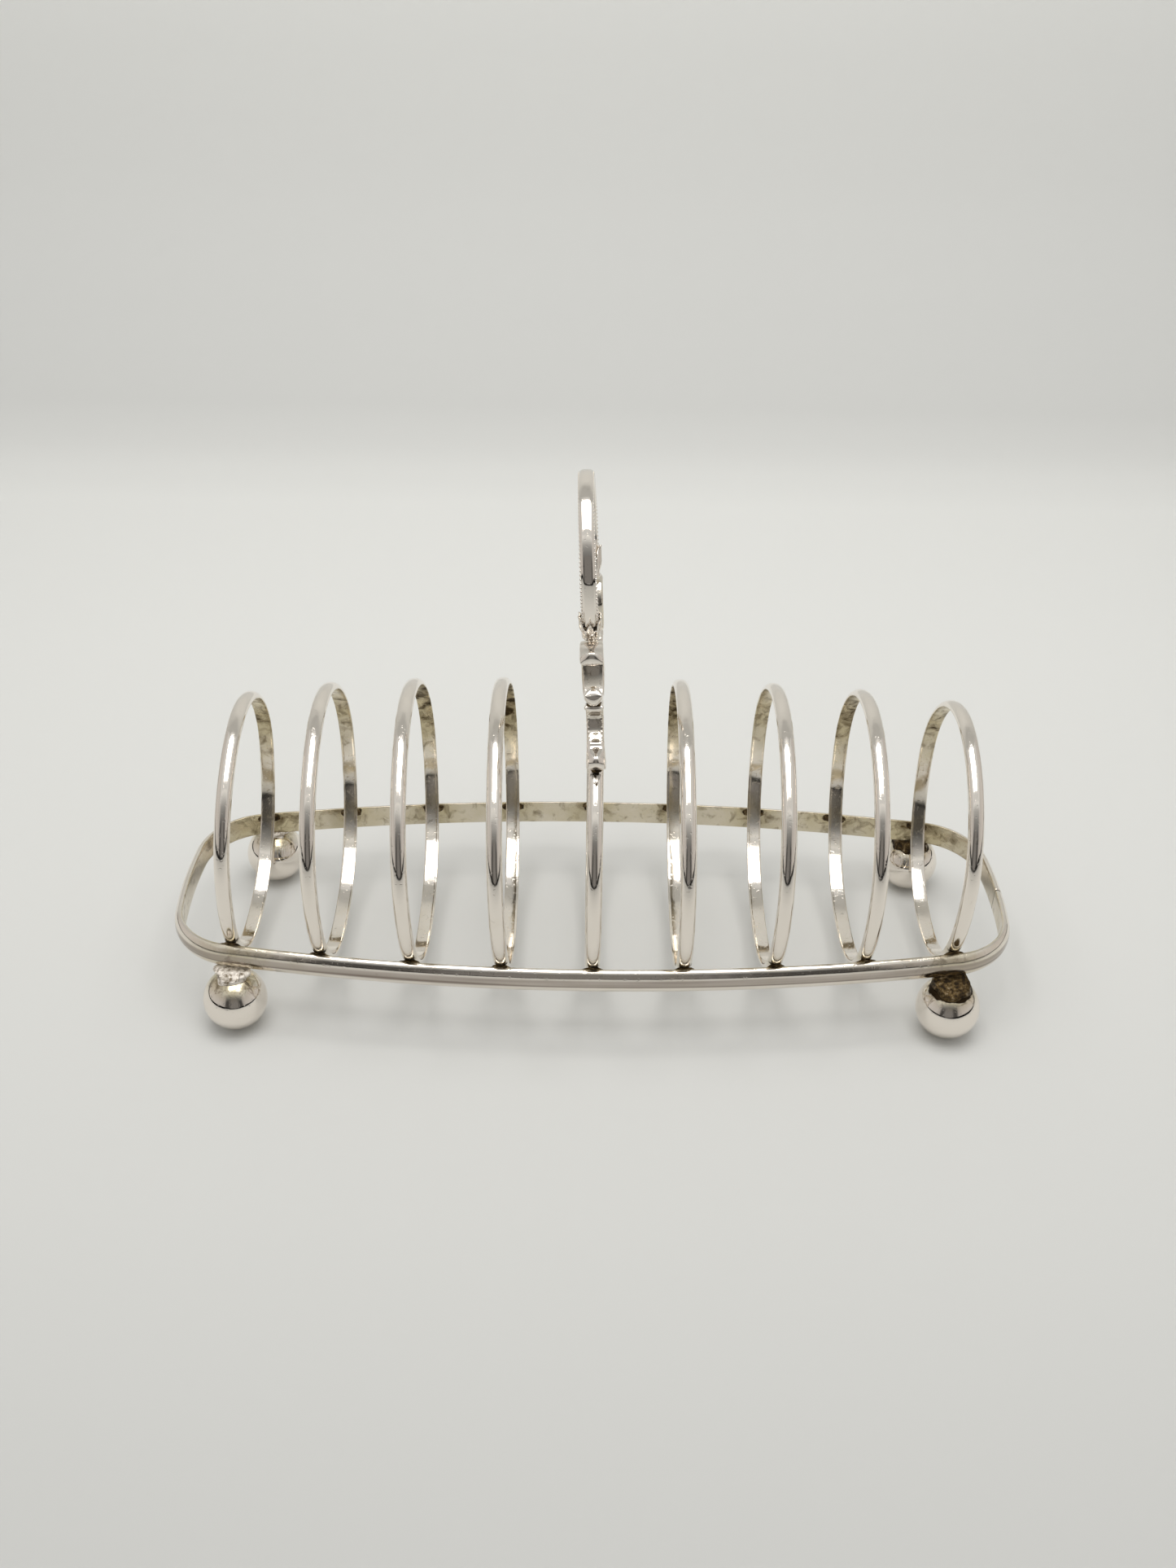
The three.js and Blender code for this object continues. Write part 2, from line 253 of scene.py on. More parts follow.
def silver_plate(name, colours, roughness, patina_amount, speck_size, wave_height):
    """Silver plate over cast or drawn metal, polished by hand for years.

    It mirrors the room in slightly wavy bands, with a warm film that gathers where a cloth can't reach,
    brown specks in that film, fine pits, and short scratches from polishing.
    """
    material, tree = new_material(name)
    coords = add_node(tree, "ShaderNodeTexCoord").outputs["Object"]
    tarnish = mark_of(tree, "tarnish")
    # Film: soft patches about 7 mm across, stronger where the piece's tarnish is.
    patches = noise_of(tree, coords, 7, Detail=3.0, Roughness=0.55)
    film_sum = multiply_add(tree, patches, 0.6, patina_amount - 0.3)
    film_sum = add_node(tree, "ShaderNodeMath", {0: film_sum, 1: tarnish}, operation="ADD").outputs[0]
    film = map_range(tree, film_sum, 0.12, 1.0, interpolation_type="SMOOTHSTEP")
    # Specks: tarnish spots, crowding together as the tarnish rises.
    specks = noise_of(tree, coords, speck_size, Detail=6.0, Roughness=0.62, Distortion=0.6)
    speck_mask = map_range(tree, multiply_add(tree, tarnish, 0.34, specks), 0.68, 0.98)
    # Flux stain: ragged edge from the specks.
    stain_mask = map_range(tree, multiply_add(tree, specks, 0.9, mark_of(tree, "stain")), 0.78, 0.98)
    colour = mix_colours(tree, film, colours.silver, colours.patina)
    colour = mix_colours(tree, speck_mask, colour, colours.tarnish)
    colour = mix_colours(tree, stain_mask, colour, colours.stain)
    # Painted reflection: a grey is mixed in where the piece is marked, and stands in for the darker room
    # mirrored in the metal.
    colour = mix_colours(tree, mark_of(tree, "worn"), colour, colours.painted_reflection_grey)
    # Roughness: polished metal, dulled by the film, the specks and the stain.
    dull = multiply_add(tree, film, 0.12, roughness)
    dull = multiply_add(tree, speck_mask, 0.25, dull)
    dull = multiply_add(tree, stain_mask, 0.3, dull)
    # Surface: hammered and filed waves 6 mm long, pits 0.9 mm across, polishing scratches 0.3 mm apart.
    waves = noise_of(tree, coords, 6, Detail=1.0)
    bump = bump_of(tree, waves, 0.35, wave_height)
    pits = map_range(tree, noise_of(tree, coords, 0.9, Detail=2.0), 0.30, 0.38)
    bump = bump_of(tree, pits, 0.25, 0.06, bump)
    along = {"Vector": coords, "Rotation": (0.4, 0.9, 0.3), "Scale": (1.0, 0.12, 1.0)}
    scratches = noise_of(tree, add_node(tree, "ShaderNodeMapping", along).outputs["Vector"], 0.3, Detail=2.0)
    bump = bump_of(tree, scratches, 0.12, 0.02, bump)
    finish_material(tree, colour, 1.0, dull, bump)
    return material


def aged_solder(name, colours):
    """Tin and lead solder, run on with a flame and never cleaned up.

    It is dull and lumpy, dark brown in its hollows, with small bright places where it has been rubbed.
    Solder marked with a low tarnish has been rubbed all over.
    """
    material, tree = new_material(name)
    coords = add_node(tree, "ShaderNodeTexCoord").outputs["Object"]
    # Lumps 1.6 mm across.
    lumps = noise_of(tree, coords, 1.6, Detail=6.0, Roughness=0.65)
    tone = multiply_add(tree, mark_of(tree, "tarnish"), -0.14, lumps)
    ramp = [(0.28, colours.stain), (0.40, colours.tarnish), (0.52, colours.solder), (0.66, colours.silver)]
    colour = add_node(tree, "ShaderNodeValToRGB", {"Fac": tone}, ramp=ramp).outputs["Color"]
    rough = {"Value": lumps, "From Min": 0.4, "From Max": 0.7, "To Min": 0.6, "To Max": 0.28}
    rough = add_node(tree, "ShaderNodeMapRange", rough).outputs["Result"]
    finish_material(tree, colour, 0.85, rough, bump_of(tree, lumps, 0.8, 0.5))
    return material


def rack_material(kind):
    """The shared materials, each made the first time that it is asked for."""
    found = bpy.data.materials.get(kind)
    if found:
        return found
    colours = bpy.context.scene.rack_colours
    if kind == "aged_tin_solder":
        return aged_solder(kind, colours)
    settings = {
        "silver_plate_drawn_wire": (0.09, 0.12, 3.0, 0.35),
        "silver_plate_rolled_strip": (0.10, 0.20, 3.4, 0.30),
        "silver_plate_spun_ball": (0.06, 0.10, 1.6, 0.25),
        "silver_plate_cast_handle": (0.07, 0.06, 1.6, 0.30),
    }
    return silver_plate(kind, colours, *settings[kind])


# ---- Shapes ----


def new_object(bm, name, material):
    """Turns the bmesh into an object with one material."""
    mesh = bpy.data.meshes.new(name)
    bm.to_mesh(mesh)
    bm.free()
    mesh.materials.append(material)
    thing = bpy.data.objects.new(name, mesh)
    bpy.context.scene.collection.objects.link(thing)
    return thing


def finish_piece(bm, name, material, slot, *nodes):
    """Makes the object, lets it ride on the rack and hides the nodes that it stands for."""
    bmesh.ops.remove_doubles(bm, verts=bm.verts[:], dist=mm(0.0005))
    bmesh.ops.recalc_face_normals(bm, faces=bm.faces[:])
    for face in bm.faces:
        face.smooth = True
    piece = new_object(bm, name, rack_material(material))
    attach(piece, "root")
    if nodes:
        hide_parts(*nodes)
    return piece


def new_bmesh():
    """An empty bmesh with the marks that the materials read."""
    bm = bmesh.new()
    # The third layer marks painted reflection: a grey band that stands in for the darker room mirrored in the
    # metal.
    for name in ("tarnish", "stain", "worn"):
        bm.verts.layers.float.new(name)
    return bm


def marks(bm):
    """The tarnish and stain layers."""
    return bm.verts.layers.float["tarnish"], bm.verts.layers.float["stain"]


def move(bm, matrix):
    """Moves the whole shape."""
    bmesh.ops.transform(bm, matrix=matrix, verts=bm.verts[:])


def spin_round(bm, axis, angle, steps, merge=True):
    """Turns the whole outline round the origin."""
    bmesh.ops.spin(
        bm,
        geom=bm.verts[:] + bm.edges[:],
        cent=(0, 0, 0),
        axis=axis,
        angle=angle,
        steps=steps,
        use_merge=merge,
        use_normal_flip=False,
        use_duplicate=False,
    )


def near_to(distance, size):
    """Falls from 1 at the place itself to almost nothing past twice this many millimetres."""
    return math.exp(-((distance / mm(size)) ** 2))


def smooth_step(low, high, value):
    """Rises smoothly from 0 to 1 between the two values."""
    share = min(max((value - low) / (high - low), 0.0), 1.0)
    return share * share * (3 - 2 * share)


def half_round(thickness, width, flat_at, x, y):
    """Moves a place on a unit circle onto a half-round section, flat side in, with softened corners."""
    edge = 0.16 * thickness
    if x >= 0:
        return flat_at + edge + (thickness - edge) * x, width / 2 * y
    corner = 0.42
    return flat_at + edge * (1 - abs(x) ** corner), width / 2 * math.copysign(abs(y) ** corner, y)


def ring_along(outline, section, segments, steps):
    """A spun ring whose sections are then moved round a flat closed outline.

    Returns the bmesh and, for each vertex, how far it is out from the outline and across it.
    """
    base = 1.0
    bm = new_bmesh()
    bmesh.ops.create_circle(bm, cap_ends=False, segments=segments, radius=1.0)
    for vert in bm.verts:
        out, across = section(vert.co.x, vert.co.y)
        vert.co = (base + out, 0, across)
    spin_round(bm, (0, 0, 1), 2 * math.pi, steps)
    places = {}
    for vert in bm.verts:
        turn = (math.atan2(vert.co.y, vert.co.x) / (2 * math.pi)) % 1.0
        out = math.hypot(vert.co.x, vert.co.y) - base
        point, normal = outline(turn)
        places[vert] = (out, vert.co.z)
        vert.co = (point.x + normal.x * out, point.y + normal.y * out, vert.co.z)
    return bm, places


def add_copy(bm, other, matrix):
    """Adds another bmesh's shape, moved by the matrix."""
    move(other, matrix)
    mesh = bpy.data.meshes.new("part")
    other.to_mesh(mesh)
    other.free()
    bm.from_mesh(mesh)
    bpy.data.meshes.remove(mesh)


# ---- Rail ----


class RailOutline:
    """The rail's inner outline in plan: arcs for the long sides, ends and corners that meet smoothly."""

    def __init__(self, sizes):
        self.half_length = RAIL_HIGH.x - sizes.thickness
        self.half_depth = RAIL_HIGH.y - sizes.thickness
        self.side_radius = sizes.side_radius
        side = Vector((0, self.half_depth - sizes.side_radius))
        end = Vector((self.half_length - sizes.end_radius, 0))
        reach_side = sizes.side_radius - sizes.corner_radius
        reach_end = sizes.end_radius - sizes.corner_radius
        apart = end - side
        along = (reach_side**2 - reach_end**2 + apart.length**2) / (2 * apart.length)
        across = math.sqrt(reach_side**2 - along**2)
        direction = apart.normalized()
        corner = side + direction * along + Vector((-direction.y, direction.x)) * across
        if corner.y < 0:
            corner = side + direction * along - Vector((-direction.y, direction.x)) * across
        at_side = math.atan2(corner.y - side.y, corner.x)
        at_end = math.atan2(corner.y, corner.x - end.x)
        r = sizes.corner_radius
        self.arcs = [
            (end.x, 0, sizes.end_radius, 0, at_end),
            (corner.x, corner.y, r, at_end, at_side),
            (0, side.y, sizes.side_radius, at_side, math.pi - at_side),
            (-corner.x, corner.y, r, math.pi - at_side, math.pi - at_end),
            (-end.x, 0, sizes.end_radius, math.pi - at_end, math.pi + at_end),
            (-corner.x, -corner.y, r, math.pi + at_end, math.pi + at_side),
            (0, -side.y, sizes.side_radius, math.pi + at_side, 2 * math.pi - at_side),
            (corner.x, -corner.y, r, 2 * math.pi - at_side, 2 * math.pi - at_end),
            (end.x, 0, sizes.end_radius, 2 * math.pi - at_end, 2 * math.pi),
        ]
        self.length = sum(radius * (to - start) for _, _, radius, start, to in self.arcs)

    def __call__(self, turn):
        left = turn * self.length
        for x, y, radius, start, to in self.arcs:
            arc = radius * (to - start)
            if left <= arc:
                break
            left -= arc
        angle = start + min(left, arc) / radius
        normal = Vector((math.cos(angle), math.sin(angle)))
        return Vector((x, y)) + normal * radius, normal

    def depth_at(self, x):
        """Half the rail's inner depth at a place along its side."""
        return self.half_depth - self.side_radius + math.sqrt(self.side_radius**2 - x**2)


def joint_places(outline):
    """Where the hoops are soldered to the rail."""
    pitch = bpy.context.scene.rack_hoops.pitch
    places = []
    for index in range(len(HOOP_NODES)):
        x = (index - (len(HOOP_NODES) - 1) / 2) * pitch
        places += [Vector((x, sign * outline.depth_at(x), RAIL_HIGH.z)) for _, sign in SIDES]
    return places


def foot_places():
    """Where each ball stands on the floor, by side and end."""
    places = {}
    for side, _ in SIDES:
        for end, _ in ENDS:
            low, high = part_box(f"ball_foot_{side}_{end}")
            places[side, end] = Vector(((low.x + high.x) / 2, (low.y + high.y) / 2, 0))
    return places


def cut_seam(bm, place, along, depth):
    """A narrow groove across the strip, deeper at its top edge, where two ends of strip are joined."""
    reach, half_width = mm(9), mm(0.06)
    for offset in (-0.3, 0.0, 0.3):
        faces = [face for face in bm.faces if (face.calc_center_median() - place).length < reach]
        edges = list({edge for face in faces for edge in face.edges})
        verts = list({vert for face in faces for vert in face.verts})
        cut = place + along * mm(offset)
        bmesh.ops.bisect_plane(bm, geom=verts + edges + faces, dist=mm(0.01), plane_co=cut, plane_no=along)
    for vert in bm.verts:
        offset = vert.co - place
        if offset.length < reach and abs(offset.dot(along)) < half_width:
            share = smooth_step(RAIL_LOW.z, RAIL_HIGH.z, vert.co.z)
            vert.co.z -= depth * share**6
            middle = (vert.co - place) * 0.06
            vert.co -= Vector((middle.x, middle.y, 0))
            vert[bm.verts.layers.float["stain"]] = 0.9


class RACK_OT_rail(bpy.types.Operator):
    """The half-round strip that ties the hoops together, with its joined ends"""

    bl_idname = "rack.rail"
    bl_label = "Rail"

    def execute(self, context):
        sizes = context.scene.rack_rail
        outline = RailOutline(sizes)
        height = RAIL_HIGH.z - RAIL_LOW.z
        middle = (RAIL_HIGH.z + RAIL_LOW.z) / 2
        bm, places = ring_along(outline, lambda x, y: half_round(sizes.thickness, height, 0, x, y), 56, 420)
        tarnish, stain = marks(bm)
        # The layer of painted reflection on the rail's outside.
        worn = bm.verts.layers.float["worn"]
        joints = joint_places(outline)
        feet = list(foot_places().values())
        for vert, (out, _) in places.items():
            vert.co.z += middle
            inner = 1 - smooth_step(mm(0.1), mm(0.7), out)
            joint = min((vert.co - place).length for place in joints)
            foot = min((Vector((vert.co.x, vert.co.y, 0)) - place).length for place in feet)
            low = 1 - smooth_step(RAIL_LOW.z, RAIL_HIGH.z, vert.co.z)
            vert[tarnish] = (
                0.34 * inner
                + 0.8 * math.exp(-joint / mm(4.5)) * (0.25 + 0.75 * inner)
                + 0.32 * near_to(foot, 15)
            )
            level = (vert.co.z - middle) / (height / 2)
            along = noise.noise(vert.co * 22)
            # Painted reflection: a grey band along the middle of the outside, with a darker line under it,
            # stands in for the darker room mirrored in the rail.
            band = (1 - inner) * smooth_step(-0.28, -0.12, level) * (1 - smooth_step(0.30, 0.42, level))
            line = (1 - inner) * math.exp(-(((level + 0.24) / (0.08 + 0.05 * along)) ** 2))
            streaks = 0.5 + 0.5 * noise.noise(Vector((vert.co.x * 40, vert.co.y * 40, vert.co.z * 1500)))
            vert[worn] = min(1.0, (0.45 + 0.45 * streaks) * band + 0.9 * line)
            spread = 0.5 if vert.co.x > 0 else 0.2
            vert[stain] = 0.5 * math.exp(-joint / mm(1.6)) + spread * low * near_to(foot, 6.5)
        seam_place = Vector((outline.half_length + sizes.thickness / 2, mm(-2), middle))
        cut_seam(bm, seam_place, Vector((0, 1, 0)), sizes.seam_depth)
        finish_piece(bm, "rail_strip", "silver_plate_rolled_strip", "rail_silver", "rail")
        return {"FINISHED"}


# ---- Hoops ----


class HoopOutline:
    """The crown line of one hoop, depth first and height second; each half is a superellipse."""

    def __init__(self, sizes, rail, x, end_x):
        self.bottom = RAIL_LOW.z - sizes.dip_below_rail
        self.widest = RAIL_HIGH.z + sizes.widest_above_rail
        top = RAIL_HIGH.z + sizes.crown_above_rail - sizes.end_drop * (x / end_x) ** 4
        self.rise = top - self.widest
        self.drop = self.widest - self.bottom
        self.upper, self.lower = sizes.upper_roundness, sizes.lower_roundness
        below = (self.widest - RAIL_HIGH.z) / self.drop
        share = (1 - below**self.lower) ** (1 / self.lower)
        self.half_depth = (rail.depth_at(x) - sizes.gap) / share

    def point(self, turn):
        across, up = math.cos(2 * math.pi * turn), math.sin(2 * math.pi * turn)
        power = 2 / (self.upper if up > 0 else self.lower)
        reach = self.rise if up > 0 else self.drop
        return Vector(
            (
                self.half_depth * math.copysign(abs(across) ** power, across),
                self.widest + reach * math.copysign(abs(up) ** power, up),
            )
        )

    def __call__(self, turn):
        tangent = (self.point(turn + 0.0005) - self.point(turn - 0.0005)).normalized()
        return self.point(turn), Vector((tangent.y, -tangent.x))

    def height_at(self, depth):
        return self.widest + self.rise * (1 - abs(depth / self.half_depth) ** self.upper) ** (1 / self.upper)

    def rest_height(self, depth, radius):
        """Height of a disc that rests on the hoop, centred this far from the middle."""
        step = mm(0.05)
        slope = (self.height_at(depth + step) - self.height_at(depth - step)) / (2 * step)
        return self.height_at(depth) + radius * math.sqrt(1 + slope**2)


def hoop_outline(index):
    scene = bpy.context.scene
    last = (len(HOOP_NODES) - 1) / 2
    x = (index - last) * scene.rack_hoops.pitch
    return HoopOutline(scene.rack_hoops, RailOutline(scene.rack_rail), x, last * scene.rack_hoops.pitch), x


class RACK_OT_hoops(bpy.types.Operator):
    """The closed hoops of half-round wire that hold the toast apart"""

    bl_idname = "rack.hoops"
    bl_label = "Hoops"

    def execute(self, context):
        sizes = context.scene.rack_hoops
        thickness = sizes.wire_thickness
        for index, node in enumerate(HOOP_NODES):
            outline, x = hoop_outline(index)
            lean = Matrix.Translation((x, 0, RAIL_HIGH.z)) @ Matrix.Rotation(sizes.lean[index], 4, "Y")
            bm, places = ring_along(
                outline, lambda u, v: half_round(thickness, sizes.wire_width, -thickness, u, v), 28, 200
            )
            self.mark_wire(context.scene, bm, places, outline, index, x)
            for vert, (_, across) in places.items():
                vert.co = (across, vert.co.x, vert.co.y - RAIL_HIGH.z)
            move(bm, lean)
            finish_piece(bm, f"hoop_wire_{index + 1}", "silver_plate_drawn_wire", "polished_silver", node)
        return {"FINISHED"}

    def mark_wire(self, scene, bm, places, outline, index, x):
        """Browns the flat inner side towards the top, and stains the wire near solder."""
        thickness = scene.rack_hoops.wire_thickness
        rail_depth = RailOutline(scene.rack_rail).depth_at(x)
        knob_depth = HandleFrame(scene).knob_depth
        carries_handle = index == (len(HOOP_NODES) - 1) // 2
        brown = scene.rack_hoops.inner_tarnish[index]
        tarnish, stain = marks(bm)
        for vert, (out, across) in places.items():
            depth, height = vert.co.x, vert.co.y
            flat = 1 - smooth_step(-thickness, -thickness * 0.75, out)
            joint = math.hypot(abs(depth) - rail_depth, height - RAIL_HIGH.z - mm(0.5))
            upper = smooth_step(mm(34), mm(62), height)
            waver = 0.5 + 0.5 * noise.noise(Vector((index * 7.3, depth * 60, height * 60)))
            film = flat * (0.15 + brown * upper * (0.6 + 0.6 * waver))
            vert[tarnish] = film + 0.6 * math.exp(-joint / mm(3.5))
            vert[stain] = 0.55 * near_to(joint, 1.7) + 0.34 * brown * flat * upper
            if carries_handle and out > -thickness * 0.7 and height > outline.widest:
                # A tapering stain runs down the wire from the handle's knob.
                reach = 1 - (abs(depth) - knob_depth - mm(1.4)) / mm(4.8)
                if 0 < reach <= 1.3:
                    run = 0.5 * smooth_step(0, 0.4, reach - abs(across) / mm(1.6))
                    vert[stain] = max(vert[stain], run)


def lump(seed, size, subdivisions=3, roughness=0.28):
    """A small irregular lump of solder."""
    bm = new_bmesh()
    bmesh.ops.create_icosphere(bm, subdivisions=subdivisions, radius=1.0)
    for vert in bm.verts:
        push = 1 + roughness * noise.noise(vert.co * 1.7 + Vector((seed, seed * 0.7, 0)))
        push += 0.4 * roughness * noise.noise(vert.co * 4.5 + Vector((0, seed, seed)))
        vert.co = Vector((vert.co.x * size.x, vert.co.y * size.y, vert.co.z * size.z)) * push
        vert[bm.verts.layers.float["tarnish"]] = 1.0
    return bm


class RACK_OT_hoop_solder(bpy.types.Operator):
    """The small dark fillets of solder where each hoop's legs meet the rail"""

    bl_idname = "rack.hoop_solder"
    bl_label = "Hoop solder"

    def execute(self, context):
        rail = RailOutline(context.scene.rack_rail)
        for side, sign in SIDES:
            bm = new_bmesh()
            for index in range(len(HOOP_NODES)):
                x = (index - (len(HOOP_NODES) - 1) / 2) * context.scene.rack_hoops.pitch
                seed = index * 3.1 + (20 if sign > 0 else 0)
                wide = mm(3.1 + 0.6 * noise.noise(Vector((seed, 0, 0))))
                turn = math.asin(x / rail.side_radius) * -sign
                place = Matrix.Translation((x, sign * (rail.depth_at(x) - mm(0.35)), RAIL_HIGH.z - mm(1.2)))
                add_copy(
                    bm, lump(seed, Vector((wide, mm(0.75), mm(1.5)))), place @ Matrix.Rotation(turn, 4, "Z")
                )
            finish_piece(bm, f"hoop_solder_{side}", "aged_tin_solder", "solder")
        return {"FINISHED"}


# ---- Feet ----


class RACK_OT_ball_feet(bpy.types.Operator):
    """The spun balls, each with a small worn flat"""

    bl_idname = "rack.ball_feet"
    bl_label = "Ball feet"

    def execute(self, context):
        radius = context.scene.rack_feet.ball_radius
        centre = math.sqrt(radius**2 - WORN_FLAT**2)
        for (side, end), place in foot_places().items():
            bm = new_bmesh()
            bmesh.ops.create_uvsphere(bm, u_segments=72, v_segments=48, radius=radius)
            tarnish, stain = marks(bm)
            seed = Vector((place.x * 40, place.y * 40, 0))
            for vert in bm.verts:
                up = vert.co.z / radius
                dent = noise.noise(vert.co * 140 + seed)
                vert.co *= 1 - 0.003 * max(dent, 0)
                vert[tarnish] = 0.75 * smooth_step(0.35, 0.95, up) + 0.35 * smooth_step(-0.4, -1.0, up)
                ragged = up + 0.12 * noise.noise(vert.co * 300 + seed)
                if end == "right":
                    vert[stain] = 0.75 * smooth_step(0.68, 0.80, ragged)
                else:
                    vert[stain] = 0.3 * smooth_step(0.86, 0.95, ragged)
                vert.co.z = max(vert.co.z + centre, 0)
            bmesh.ops.translate(bm, vec=place, verts=bm.verts[:])
            node = f"ball_foot_{side}_{end}"
            finish_piece(bm, f"ball_{side}_{end}", "silver_plate_spun_ball", "polished_silver", node)
        return {"FINISHED"}


class RACK_OT_foot_solder(bpy.types.Operator):
    """The rough saddles of solder between the balls and the rail"""

    bl_idname = "rack.foot_solder"
    bl_label = "Foot solder"

    def execute(self, context):
        sizes = context.scene.rack_feet
        rail = RailOutline(context.scene.rack_rail)
        radius = sizes.ball_radius
        centre = math.sqrt(radius**2 - WORN_FLAT**2)
        skirt = math.asin(sizes.skirt_radius / radius)
        # Each level of the saddle: its share of the skirt, and how far it stands off the ball in mm.
        shares = (0.0, 0.5, 0.72, 0.82, 0.93, 1.0, 0.9, 0.0)
        levels = list(zip(shares, (2.2, 2.2, 1.4, 0.9, 0.45, 0.02, -0.4, -0.4)))
        for (side, end), place in foot_places().items():
            sign = 1 if side == "back" else -1
            turn = math.asin(place.x / rail.side_radius) * -sign
            seed = place.x * 90 + place.y * 70
            # The right feet have been soldered again and left dark; the left ones are cleaner and smaller.
            spread, wear = (1.0, 1.0) if end == "right" else (0.72, -1.0)
            bm = new_bmesh()
            verts = [bm.verts.new((mm(9) * share, 0, mm(5 - level))) for level, share in enumerate(shares)]
            for first, second in zip(verts, verts[1:]):
                bm.edges.new((first, second))
            spin_round(bm, (0, 0, 1), 2 * math.pi, 48)
            top = RAIL_LOW.z - centre + mm(0.35)
            for vert in bm.verts:
                level = round(5 - vert.co.z * 1000)
                share, lift = levels[level]
                around = math.atan2(vert.co.y, vert.co.x)
                right, back = math.cos(around), math.sin(around)
                ragged = 1 + 0.22 * noise.noise(Vector((right * 1.8, back * 1.8, seed + 0.4 * level)))
                if level <= 1:
                    # The top spreads along the rail and stays within its underside.
                    vert.co = (share * mm(9.2) * right, share * mm(3.4) * back - sign * mm(1.6), top)
                elif level == 2:
                    sideways = mm(3.6) * back * ragged - sign * mm(0.7)
                    vert.co = (mm(5.2) * right * ragged, sideways, top - mm(1.0))
                else:
                    polar = skirt * share * ragged * spread
                    out = (radius + mm(lift)) * math.sin(polar)
                    vert.co = (out * right, out * back, (radius + mm(lift)) * math.cos(polar))
            bmesh.ops.remove_doubles(bm, verts=bm.verts[:], dist=mm(0.001))
            bmesh.ops.subdivide_edges(bm, edges=bm.edges[:], cuts=2, use_grid_fill=True, smooth=0.6)
            tarnish, _ = marks(bm)
            for vert in bm.verts:
                rough = noise.noise(vert.co * 900 + Vector((seed, 0, 0))) + 0.5 * noise.noise(vert.co * 2200)
                vert.co += vert.co.normalized() * mm(0.10) * spread * rough
                vert[tarnish] = wear
            bmesh.ops.rotate(bm, cent=(0, 0, 0), matrix=Matrix.Rotation(turn, 3, "Z"), verts=bm.verts[:])
            bmesh.ops.translate(bm, vec=place + Vector((0, 0, centre)), verts=bm.verts[:])
            node = f"solder_collar_{side}_{end}"
            finish_piece(bm, f"foot_solder_{side}_{end}", "aged_tin_solder", "solder", node)
        return {"FINISHED"}


# ---- Handle ----


class HandleFrame:
    """Where the handle's pieces sit, worked out from the middle hoop as the casting was fitted to it."""

    cup_reach = mm(5.3)  # from the cup's foot to the loop's end, along the loop
    knob_reach = mm(7.9)  # from the cup's foot out to the knob on the hoop
    knob_radius = mm(2.3)
    solder_gap = mm(0.3)
    cup_rise = mm(32.7)  # from the knob up to the cup's foot

    def __init__(self, scene):
        sizes = scene.rack_handle
        self.outline, _ = hoop_outline((len(HOOP_NODES) - 1) // 2)
        self.end_angle = sizes.end_angle
        across, down = math.cos(self.end_angle), math.sin(self.end_angle)
        self.foot_depth = sizes.loop_radius * across - self.cup_reach * down
        self.knob_depth = self.foot_depth + self.knob_reach
        self.knob_height = self.outline.rest_height(self.knob_depth, self.knob_radius + self.solder_gap)
        self.foot_height = self.knob_height + self.cup_rise
        self.loop_height = self.foot_height + self.cup_reach * across + sizes.loop_radius * down
        pivot = Vector((0, 0, self.knob_height))
        lean = sizes.lean + scene.rack_hoops.lean[4]
        self.lean = Matrix.Translation(pivot) @ Matrix.Rotation(lean, 4, "Y") @ Matrix.Translation(-pivot)

    def half(self, sign):
        """The front half is the back half turned round."""
        return self.lean @ Matrix.Rotation(0 if sign > 0 else math.pi, 4, "Z")


def smooth_line(points, share):
    """A place on the smooth line through the points, and its direction."""

    def place(t):
        along = min(max(t, 0.0), 1.0) * (len(points) - 1)
        index = min(int(along), len(points) - 2)
        weight = along - index
        p0, p1 = points[max(index - 1, 0)], points[index]
        p2, p3 = points[index + 1], points[min(index + 2, len(points) - 1)]
        return 0.5 * (
            2 * p1
            + (p2 - p0) * weight
            + (2 * p0 - 5 * p1 + 4 * p2 - p3) * weight**2
            + (3 * p1 - p0 - 3 * p2 + p3) * weight**3
        )

    step = 0.002
    direction = place(share + step) - place(share - step)
    return place(share), direction.normalized()


def bent_strap(points, halves, widths, rings, segments, relief, mark):
    """A bar with round ends, bent along a smooth line of (depth, height) points.

    relief(share, outside, across) lifts the surface, and mark(share, outside, across) gives its tarnish.
    """
    bm = new_bmesh()
    bmesh.ops.create_cone(bm, cap_ends=True, cap_tris=False, segments=segments, radius1=1, radius2=1, depth=2)
    long_edges = [edge for edge in bm.edges if abs(edge.verts[0].co.z - edge.verts[1].co.z) > 1]
    bmesh.ops.subdivide_edges(bm, edges=long_edges, cuts=rings - 1)
    tarnish, _ = marks(bm)
    cap = 6  # rings in each round end
    cap_angle = math.radians(84)  # short of a right angle, so that the end faces keep a little width
    squareness = 0.38
    sizes = [Vector((half, width)) for half, width in zip(halves, widths)]
    for vert in bm.verts:
        ring = round((vert.co.z + 1) / 2 * rings)
        share = min(max((ring - cap) / (rings - 2 * cap), 0.0), 1.0)
        place, direction = smooth_line(points, share)
        half, width = smooth_line(sizes, share)[0]
        normal = Vector((direction.y, -direction.x))
        shrink = 1.0
        if ring < cap or ring > rings - cap:
            steps_in = (cap - ring) / cap if ring < cap else (ring - rings + cap) / cap
            angle = steps_in * cap_angle
            place = place + direction * half * math.sin(angle) * (-1 if ring < cap else 1)
            shrink = math.cos(angle)
        # The strap's section is a rounded rectangle, and its ends are oval.
        power = 1 - squareness * smooth_step(0.05, 0.15, share) * (1 - smooth_step(0.85, 0.95, share))
        thick = math.copysign(abs(vert.co.x) ** power, vert.co.x)
        across = math.copysign(abs(vert.co.y) ** power, vert.co.y)
        span = width * (0.5 - 0.06 * (1 - shrink))
        lift = relief(share, thick, across)
        place = place + normal * (thick * (half * shrink + lift * shrink))
        vert[tarnish] = mark(share, thick, across)
        vert.co = (across * span, place.x, place.y)
    return bm


